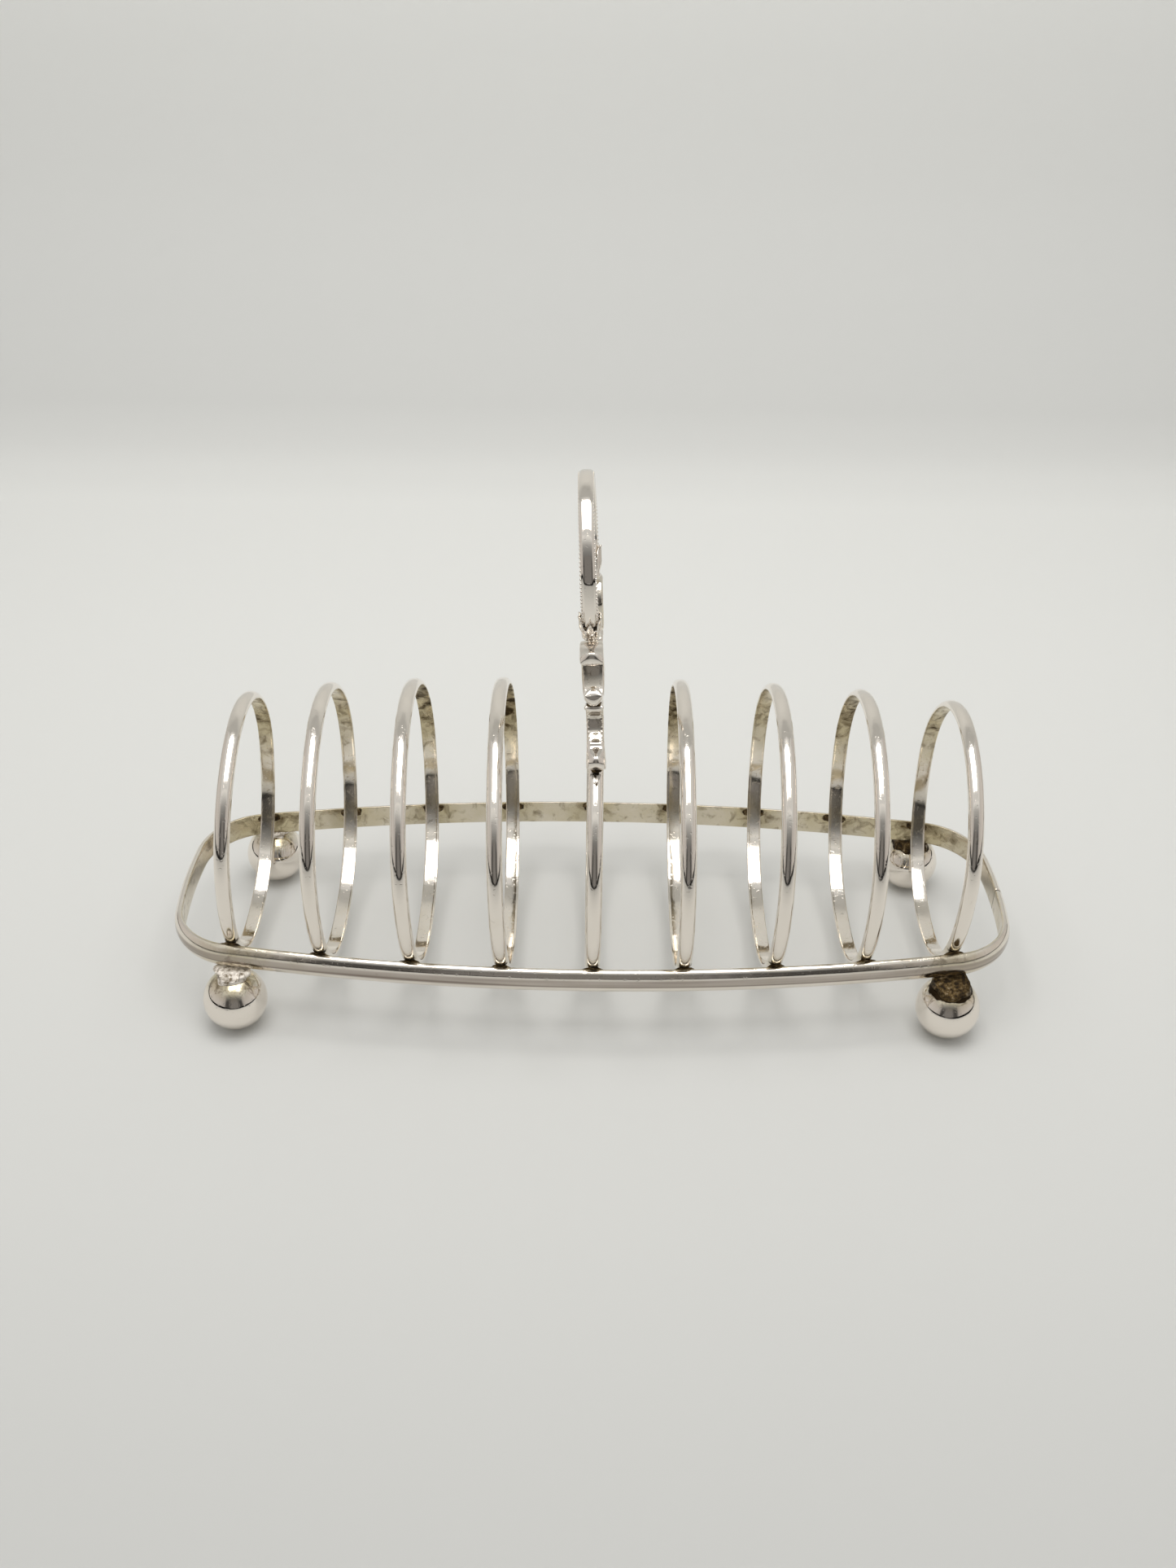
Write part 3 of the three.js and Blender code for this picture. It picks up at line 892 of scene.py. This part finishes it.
class RACK_OT_scrolls(bpy.types.Operator):
    """The cast double scrolls that carry the loop on the middle hoop"""

    bl_idname = "rack.scrolls"
    bl_label = "Scrolls"

    def execute(self, context):
        scene = context.scene
        sizes = scene.rack_handle
        handle = HandleFrame(scene)

        def line(places):
            """Places in mm, out from the cup's foot and up from the knob's middle, in the frame."""
            return [Vector((handle.foot_depth + mm(y), handle.knob_height + mm(z))) for y, z in places]

        # Each scroll: its line, half thicknesses in mm, shares of its width, and steps along it.
        lower = (
            line([(7.9, 0), (4.6, 2.5), (1.5, 5.5), (0.1, 9.1), (1.2, 12.4), (3.6, 13.7)]),
            (2.3, 1.15, 1.0, 1.0, 1.1, 1.35),
            [sizes.lower_width * share for share in (1.12, 1.0, 0.96, 0.96, 1.0, 1.10)],
            90,
            self.lower_relief,
        )
        upper = (
            line(
                [(5.5, 18.2), (2.5, 16.3), (-0.7, 18.9), (-2.6, 22.8)]
                + [(-2.4, 27.0), (-0.1, 30.0), (3.1, 30.7), (5.7, 29.6)]
            ),
            (2.1, 1.1, 1.15, 1.15, 1.15, 1.15, 1.25, 1.95),
            [sizes.upper_width * share for share in (0.80, 0.88, 0.96, 0.98, 0.98, 0.98, 1.0, 1.02)],
            110,
            self.upper_relief,
        )
        for side, sign in SIDES:
            turned = handle.half(sign)
            for name, scroll in (("lower_scroll", lower), ("upper_scroll", upper)):
                points, halves, widths, rings, relief = scroll
                halves = [mm(half) for half in halves]
                bm = bent_strap(points, halves, widths, rings, 32, relief, self.in_hollow)
                move(bm, turned)
                piece = f"{name}_{side}"
                finish_piece(bm, piece, "silver_plate_cast_handle", "cast_silver", f"handle_{piece}")
            bm = new_bmesh()
            # Solder under the knob, and where the two scrolls meet.
            for seed, size, (y, z) in ((3, (1.5, 1.2, 0.7), (7.9, -2.6)), (9, (2.0, 1.0, 0.8), (4.2, 15.3))):
                seat = Vector((0, handle.foot_depth + mm(y), handle.knob_height + mm(z)))
                drop = lump(seed * sign, Vector([mm(part) for part in size]))
                add_copy(bm, drop, turned @ Matrix.Translation(seat))
            finish_piece(bm, f"handle_solder_{side}", "aged_tin_solder", "solder")
        return {"FINISHED"}

    @staticmethod
    def lower_relief(share, outside, across):
        """Leaf work: serrated edges, a cross ridge, a hollow down the middle and a full knob."""
        teeth = 0.16 * math.sin(share * 2 * math.pi * 17) if abs(across) > 0.8 and 0.2 < share < 0.9 else 0
        ridge = 0.35 * math.exp(-(((share - 0.22) / 0.03) ** 2))
        middle = 1 - across**2
        hollow = -0.25 * smooth_step(0.3, 0.4, share) * (1 - smooth_step(0.75, 0.85, share)) * middle
        knob = 0.5 * (1 - smooth_step(0.06, 0.16, share)) * middle
        return mm(teeth + ridge + hollow + knob)

    @staticmethod
    def upper_relief(share, outside, across):
        """Raised edges, a groove below the lip, and a full lip and volute."""
        groove = -0.3 * math.exp(-(((share - 0.83) / 0.012) ** 2))
        strap = smooth_step(0.12, 0.2, share) * (1 - smooth_step(0.8, 0.85, share))
        edge = 0.14 * smooth_step(0.75, 0.9, abs(across)) * strap
        middle = 1 - across**2
        lip = 0.55 * smooth_step(0.84, 0.93, share) * middle
        volute = 0.45 * (1 - smooth_step(0.05, 0.14, share)) * middle
        return mm(groove + edge + lip + volute)

    @staticmethod
    def in_hollow(share, outside, across):
        return 0.35 * smooth_step(0.1, 0.3, share) * (1 - smooth_step(0.75, 0.95, share))


class RACK_OT_leaf_cups(bpy.types.Operator):
    """The leaf cups that hold the loop's ends: tall side leaves and a ribbed middle leaf"""

    bl_idname = "rack.leaf_cups"
    bl_label = "Leaf cups"

    def execute(self, context):
        scene = context.scene
        sizes = scene.rack_handle
        handle = HandleFrame(scene)
        for side, sign in SIDES:
            bm = new_bmesh()
            bmesh.ops.create_cone(bm, cap_ends=False, segments=96, radius1=1, radius2=1, depth=2)
            long_edges = [edge for edge in bm.edges if abs(edge.verts[0].co.z - edge.verts[1].co.z) > 1]
            bmesh.ops.subdivide_edges(bm, edges=long_edges, cuts=23)
            self.shape_cup(bm, sizes)
            rims = [edge for edge in bm.edges if edge.is_boundary and edge.verts[0].co.z < mm(0.01)]
            bmesh.ops.holes_fill(bm, edges=rims, sides=0)
            bmesh.ops.recalc_face_normals(bm, faces=bm.faces[:])
            bmesh.ops.solidify(bm, geom=bm.faces[:], thickness=mm(0.35))
            tilt = Matrix.Rotation(-handle.end_angle, 4, "X")
            place = Matrix.Translation((0, handle.foot_depth, handle.foot_height))
            move(bm, handle.half(sign) @ place @ tilt)
            piece = f"leaf_cup_{side}"
            finish_piece(bm, piece, "silver_plate_cast_handle", "cast_silver", f"handle_{piece}")
        return {"FINISHED"}

    def shape_cup(self, bm, sizes):
        """Turns a tube into the cup: a foot ring, a flare, and leaves with ribs and veins."""
        tarnish, stain = marks(bm)
        for vert in bm.verts:
            around = math.atan2(vert.co.y, vert.co.x)
            share = (vert.co.z + 1) / 2
            across, facing = abs(math.cos(around)), abs(math.sin(around))
            # Rim: tall leaves at the two sides, a pointed leaf at front and back, low between them.
            side_leaf = smooth_step(0.55, 0.95, across)
            middle_leaf = max(0.0, 1 - across / 0.34)
            height = share * (0.58 + 0.42 * side_leaf + 0.40 * middle_leaf) * sizes.cup_height
            mouth = smooth_step(0, 0.55, height / sizes.cup_height)
            foot_ring = mm(0.35) * math.exp(-(((height - mm(0.5)) / mm(0.45)) ** 2))
            ribs = mm(0.22) * math.sin(height / mm(0.9) * 2 * math.pi) * middle_leaf
            ribs *= smooth_step(0.15, 0.3, share)
            veins = mm(0.20) * math.sin(around * 12) * (1 - middle_leaf) * smooth_step(0.1, 0.5, share)
            grow = foot_ring + ribs + veins + mm(0.15) * smooth_step(0.85, 1.0, share)
            vert[tarnish] = 0.3 * (1 - facing)
            gap = math.exp(-(((across - 0.42) / 0.07) ** 2))
            vert[stain] = 0.6 * gap * (1 - smooth_step(0.7, 0.95, share))
            # The leaves follow the loop as it curves up.
            bend = max(0.0, height - HandleFrame.cup_reach) ** 2 / (2 * sizes.loop_radius)
            half_x, half_y = mm(2.1) + mm(0.6) * mouth + grow, mm(1.75) + mm(0.75) * mouth + grow
            vert.co = (half_x * math.cos(around), half_y * math.sin(around) - bend, height)


class RACK_OT_loop(bpy.types.Operator):
    """The plain rounded loop with its fine rims and beaded edges"""

    bl_idname = "rack.loop"
    bl_label = "Handle loop"

    def execute(self, context):
        scene = context.scene
        sizes = scene.rack_handle
        handle = HandleFrame(scene)
        half_x, half_y = sizes.loop_width / 2 - mm(0.22), sizes.loop_thickness / 2
        bm = new_bmesh()
        bmesh.ops.create_circle(bm, cap_ends=False, segments=48, radius=1.0)
        for vert in bm.verts:
            x = math.copysign(abs(vert.co.x) ** 0.55, vert.co.x)
            out = math.copysign(abs(vert.co.y) ** 0.75, vert.co.y)
            groove = mm(0.14) * math.exp(-(((abs(x) - 0.76) / 0.05) ** 2))
            place = out * (half_y - groove)
            vert.co = (x * half_x, sizes.loop_radius + place, 0)
        sweep = math.pi + 2 * handle.end_angle
        start = Matrix.Rotation(-handle.end_angle, 4, "X")
        move(bm, start)
        spin_round(bm, (1, 0, 0), sweep, 120, merge=False)
        bmesh.ops.holes_fill(bm, edges=[edge for edge in bm.edges if edge.is_boundary], sides=0)
        bead_circle = sizes.loop_radius + mm(0.75)
        count = int(sweep * bead_circle / sizes.bead_pitch)
        for index in range(count):
            angle = -handle.end_angle + sweep * (index + 0.5) / count
            # The beads are worn down towards the top.
            radius = sizes.bead_radius * (1 - 0.45 * smooth_step(-0.1, 0.85, math.sin(angle)))
            for side in (-1, 1):
                bead = new_bmesh()
                bmesh.ops.create_uvsphere(bead, u_segments=10, v_segments=7, radius=radius)
                y, z = bead_circle * math.cos(angle), bead_circle * math.sin(angle)
                add_copy(bm, bead, Matrix.Translation((side * (half_x - mm(0.16)), y, z)))
        lift = Matrix.Translation((0, 0, handle.loop_height))
        move(bm, handle.lean @ lift)
        finish_piece(bm, "loop_band", "silver_plate_cast_handle", "cast_silver", "handle_loop")
        return {"FINISHED"}


# ---- Stage ----


def reflector(name, width, height, turn, place, ramp_across, ramp_up):
    """A card seen only in the polished metal, as the inside of a light tent is."""
    material, tree = new_material(name)
    coords = add_node(tree, "ShaderNodeTexCoord").outputs["Object"]
    parts = add_node(tree, "ShaderNodeSeparateXYZ", {0: coords})
    sideways = parts.outputs["Y" if turn else "X"]
    sideways = add_node(tree, "ShaderNodeMath", {0: sideways}, operation="ABSOLUTE").outputs[0]
    across = add_node(tree, "ShaderNodeValToRGB", {"Fac": sideways}, ramp=ramp_across).outputs["Color"]
    up = add_node(tree, "ShaderNodeValToRGB", {"Fac": parts.outputs["Z"]}, ramp=ramp_up).outputs["Color"]
    lighter = {0: 1.0, 6: across, 7: up}
    both = add_node(tree, "ShaderNodeMix", lighter, data_type="RGBA", blend_type="LIGHTEN").outputs[2]
    # The strip along the floor stays dark, whatever the card above it does.
    gap = map_range(tree, multiply_add(tree, sideways, -0.10, parts.outputs["Z"]), 0.020, 0.032)
    shader = add_node(tree, "ShaderNodeEmission", {"Color": both, "Strength": gap})
    add_node(tree, "ShaderNodeOutputMaterial", {"Surface": shader.outputs["Emission"]})

    bm = bmesh.new()
    bmesh.ops.create_grid(bm, x_segments=1, y_segments=1, size=0.5)
    bmesh.ops.scale(bm, vec=(width, height, 1), verts=bm.verts[:])
    for angle, axis in ((math.pi / 2, "X"), (math.radians(turn), "Z")):
        bmesh.ops.rotate(bm, cent=(0, 0, 0), matrix=Matrix.Rotation(angle, 3, axis), verts=bm.verts[:])
    bmesh.ops.translate(bm, vec=place, verts=bm.verts[:])
    card = new_object(bm, name, material)
    for rays in ("camera", "diffuse", "shadow", "transmission"):
        setattr(card, f"visible_{rays}", False)


class RACK_OT_stage(bpy.types.Operator):
    """The pale paper sweep, the soft light and the camera"""

    bl_idname = "rack.stage"
    bl_label = "Stage"

    def execute(self, context):
        scene = context.scene
        self.add_sweep(scene)
        self.add_lights(scene)
        self.add_camera(scene)
        return {"FINISHED"}

    def add_sweep(self, scene):
        start, radius, front, half_width, wall = 0.335, 0.15, -1.8, 1.8, 1.3
        bm = bmesh.new()
        bmesh.ops.create_grid(bm, x_segments=2, y_segments=120, size=1.0)
        quarter = radius * math.pi / 2
        total = (start - front) + quarter + wall
        for vert in bm.verts:
            along = front + (vert.co.y + 1) / 2 * total
            if along <= start:
                y, z = along, 0.0
            elif along <= start + quarter:
                angle = (along - start) / radius
                y, z = start + radius * math.sin(angle), radius * (1 - math.cos(angle))
            else:
                y, z = start + radius, radius + along - start - quarter
            vert.co = (vert.co.x * half_width, y, z)
        for face in bm.faces:
            face.smooth = True
        # Matt art paper: no gloss, with the faintest fibre.
        material, tree = new_material("matt_paper_sweep")
        coords = add_node(tree, "ShaderNodeTexCoord").outputs["Object"]
        bump = bump_of(tree, noise_of(tree, coords, 1.5, Detail=4.0), 0.05, 0.05)
        parts = add_node(tree, "ShaderNodeSeparateXYZ", {0: coords})
        # Depth plus half the height grows steadily from the front of the floor to the top of the wall.
        along = multiply_add(tree, parts.outputs["Z"], 0.5, parts.outputs["Y"])
        along = map_range(tree, along, -0.4, 0.6)
        # The tent's light falls off towards the front, and again where the sweep turns up.
        places = (0.10, 0.21, 0.30, 0.42, 0.58, 0.717, 0.752, 0.782, 0.81, 0.865, 0.937, 0.98)
        tones = (0.50, 0.56, 0.625, 0.685, 0.748, 0.785, 0.745, 0.68, 0.643, 0.66, 0.70, 0.76)
        ramp = [(place, grey(tone)) for place, tone in zip(places, tones)]
        tone = add_node(tree, "ShaderNodeValToRGB", {"Fac": along}, ramp=ramp).outputs["Color"]
        shine = {"Base Color": tone, "Roughness": 0.9, "Specular IOR Level": 0.1, "Normal": bump}
        shader = add_node(tree, "ShaderNodeBsdfPrincipled", shine)
        add_node(tree, "ShaderNodeOutputMaterial", {"Surface": shader.outputs["BSDF"]})
        new_object(bm, "paper_sweep", material)

    def add_lights(self, scene):
        world = bpy.data.worlds.new("tent_light")
        scene.world = world
        world.use_nodes = True
        tree = world.node_tree
        tree.nodes.clear()
        glow = add_node(tree, "ShaderNodeBackground", {"Color": linear("#F4F4F2"), "Strength": 0.72})
        add_node(tree, "ShaderNodeOutputWorld", {"Surface": glow.outputs["Background"]})

        light = bpy.data.lights.new("overhead_softbox", "AREA")
        light.shape = "RECTANGLE"
        light.size, light.size_y = 0.6, 0.5
        light.energy = 3.2
        light.color = (1.0, 0.99, 0.97)
        lamp = bpy.data.objects.new("overhead_softbox", light)
        lamp.location = (0, -0.08, 0.75)
        scene.collection.objects.link(lamp)

        # Each card's tone by distance from its middle, and by height, in metres.
        front = [(0.0, 0.20), (0.12, 0.20), (0.22, 0.07), (0.32, 0.07), (0.42, 0.40), (0.75, 0.58)]
        front_up = [(0.0, 0.0), (0.30, 0.05), (0.6, 0.32), (0.95, 0.8)]
        side, side_up = [(0.0, 0.62), (0.5, 0.52)], [(0.0, 0.2), (0.9, 0.75)]
        for name, width, turn, (x, y), across, up in (
            ("tent_front", 1.9, 0, (0, -0.62), front, front_up),
            ("tent_left", 1.0, 90, (-0.62, -0.12), side, side_up),
            ("tent_right", 1.0, 90, (0.62, -0.12), side, side_up),
        ):
            across = [(place, warm(tone)) for place, tone in across]
            up = [(place, grey(tone)) for place, tone in up]
            reflector(name, width, 1.0, turn, Vector((x, y, 0.5)), across, up)

    def add_camera(self, scene):
        data = bpy.data.cameras.new("camera")
        data.sensor_fit = "AUTO"
        data.sensor_width = 36.0
        data.lens = 35.578
        data.clip_start, data.clip_end = 0.01, 20.0
        camera = bpy.data.objects.new("camera", data)
        pitch, yaw, roll = (math.radians(a) for a in (34.676, 0.249, 0.898))
        forward = Vector((math.sin(yaw) * math.cos(pitch), math.cos(yaw) * math.cos(pitch), -math.sin(pitch)))
        right = Vector((math.cos(yaw), -math.sin(yaw), 0))
        up = right.cross(forward)
        rolled_right = right * math.cos(roll) + up * math.sin(roll)
        rolled_up = up * math.cos(roll) - right * math.sin(roll)
        turn = Matrix((rolled_right, rolled_up, -forward)).transposed()
        camera.matrix_world = Matrix.Translation((mm(-3.416), mm(-356.715), mm(306.692))) @ turn.to_4x4()
        scene.collection.objects.link(camera)
        scene.camera = camera
        scene.view_settings.view_transform = "Standard"


# ---- Panel and registration ----


class RACK_PT_panel(bpy.types.Panel):
    """Lists the rack's pieces"""

    bl_label = "Toast Rack"
    bl_idname = "RACK_PT_panel"
    bl_space_type = "VIEW_3D"
    bl_region_type = "UI"
    bl_category = "Toast Rack"

    def draw(self, context):
        for operator in BUILD_ORDER:
            self.layout.operator(operator.bl_idname)


BUILD_ORDER = (
    RACK_OT_rail,
    RACK_OT_hoops,
    RACK_OT_hoop_solder,
    RACK_OT_ball_feet,
    RACK_OT_foot_solder,
    RACK_OT_scrolls,
    RACK_OT_leaf_cups,
    RACK_OT_loop,
    RACK_OT_stage,
)
GROUPS = (
    ("rack_hoops", HoopSizes),
    ("rack_rail", RailSizes),
    ("rack_feet", FootSizes),
    ("rack_handle", HandleSizes),
    ("rack_colours", RackColours),
)


def register():
    for name, group in GROUPS:
        bpy.utils.register_class(group)
        setattr(bpy.types.Scene, name, bpy.props.PointerProperty(type=group))
    for operator in BUILD_ORDER:
        bpy.utils.register_class(operator)
    bpy.utils.register_class(RACK_PT_panel)


def unregister():
    bpy.utils.unregister_class(RACK_PT_panel)
    for operator in reversed(BUILD_ORDER):
        bpy.utils.unregister_class(operator)
    for name, group in reversed(GROUPS):
        delattr(bpy.types.Scene, name)
        bpy.utils.unregister_class(group)


def main():
    register()
    for operator in BUILD_ORDER:
        area, action = operator.bl_idname.split(".")
        getattr(getattr(bpy.ops, area), action)()


if __name__ == "__main__":
    main()
